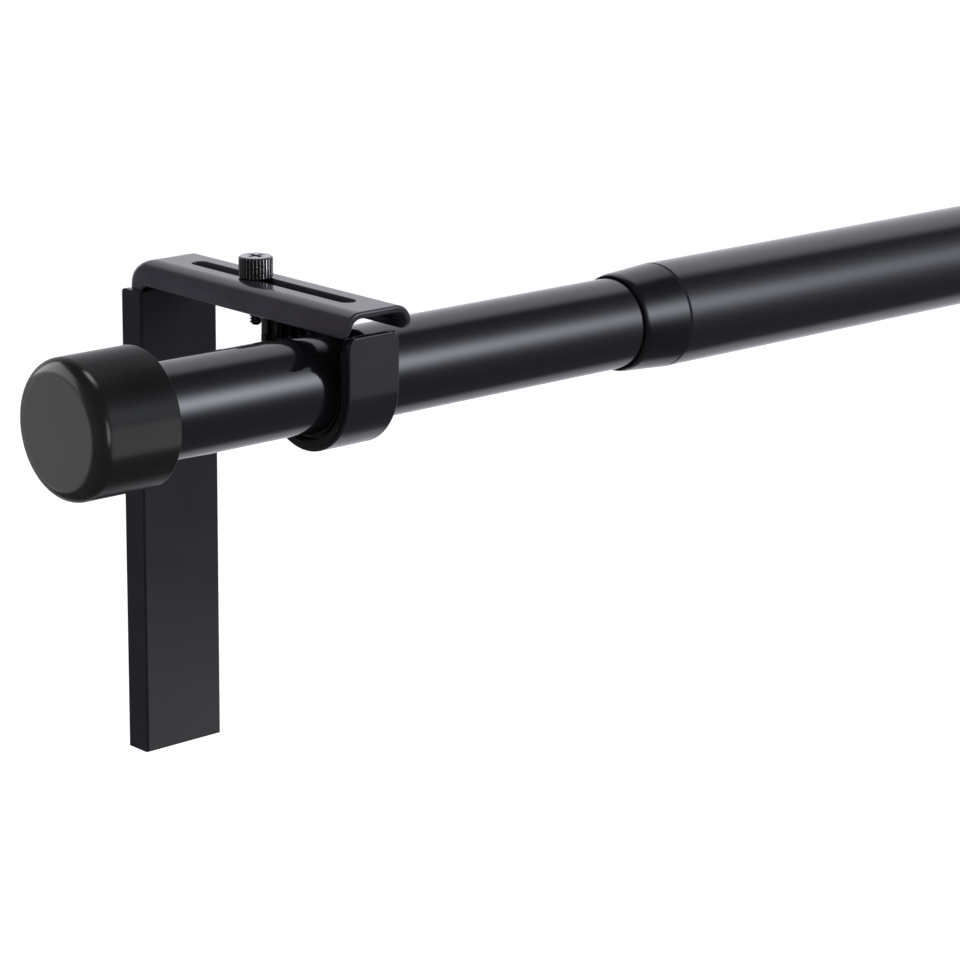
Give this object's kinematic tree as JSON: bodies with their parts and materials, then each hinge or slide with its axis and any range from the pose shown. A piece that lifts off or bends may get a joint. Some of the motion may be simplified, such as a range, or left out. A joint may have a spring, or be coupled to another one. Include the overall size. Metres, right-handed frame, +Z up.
{
  "type": "extendable curtain rod",
  "caption": "Telescopic black curtain rod with end caps, on slotted wall brackets whose screw-clamped hooks set its distance from the wall.",
  "frame": {"origin": "on the wall, at the middle of the left bracket's back face, level with the rod's axis", "axes": "+X along the rod, from the left bracket to the right one; +Y into the wall; +Z up"},
  "size_m": [0.7686, 0.0814, 0.1293],
  "materials": {
    "tube_paint": "black, semi-gloss",
    "bracket_paint": "black, satin powder coat",
    "holder_paint": "black, semi-gloss",
    "screw_steel": "black plated",
    "collar_plastic": "black, semi-gloss",
    "finial_plastic": "black, matt",
    "cover_plastic": "black, satin",
    "liner_plastic": "black, gloss",
    "hidden_plastic": "black, plain"
  },
  "bodies": {
    "root": {"left_bracket": "bracket_paint", "right_bracket": "bracket_paint"},
    "outer_rod": {"outer_tube": "tube_paint", "reducer_collar": "collar_plastic", "right_finial": "finial_plastic", "right_holder": "holder_paint", "right_holder_liner": "liner_plastic"},
    "inner_rod": {"inner_tube": "tube_paint", "glide_plug": "hidden_plastic", "left_finial": "finial_plastic"},
    "left_hook": {"left_holder": "holder_paint", "left_holder_liner": "liner_plastic"},
    "left_screw": {"left_thumb_screw": "screw_steel"},
    "right_screw": {"right_thumb_screw": "screw_steel"},
    "left_cover": {"left_plate_cover": "cover_plastic"},
    "right_cover": {"right_plate_cover": "cover_plastic"}
  },
  "joints": [
    {"name": "rod_depth", "type": "slide", "parent": "root", "child": "outer_rod", "axis": [0, -1, 0], "range_m": [-0.021, 0.033]},
    {"name": "left_hook_depth", "type": "slide", "parent": "root", "child": "left_hook", "axis": [0, -1, 0], "range_m": [-0.021, 0.033]},
    {"name": "tube_extend", "type": "slide", "parent": "outer_rod", "child": "inner_rod", "axis": [-1, 0, 0], "range_m": [-0.045, 0.44]},
    {"name": "left_cover_slide", "type": "slide", "parent": "root", "child": "left_cover", "axis": [0, 0, -1], "range_m": [0, 0.11]},
    {"name": "right_cover_slide", "type": "slide", "parent": "root", "child": "right_cover", "axis": [0, 0, -1], "range_m": [0, 0.11]},
    {"name": "left_screw_turn", "type": "hinge", "parent": "left_hook", "child": "left_screw", "pos_m": [0, -0.0371, 0.0195], "axis": [0, 0, 1], "range_deg": [0, 1080]},
    {"name": "right_screw_turn", "type": "hinge", "parent": "outer_rod", "child": "right_screw", "pos_m": [0.614, -0.0371, 0.0195], "axis": [0, 0, 1], "range_deg": [0, 1080]}
  ],
  "couplings": [
    {"joint": "left_hook_depth", "follows": "rod_depth", "ratio": 1}
  ]
}
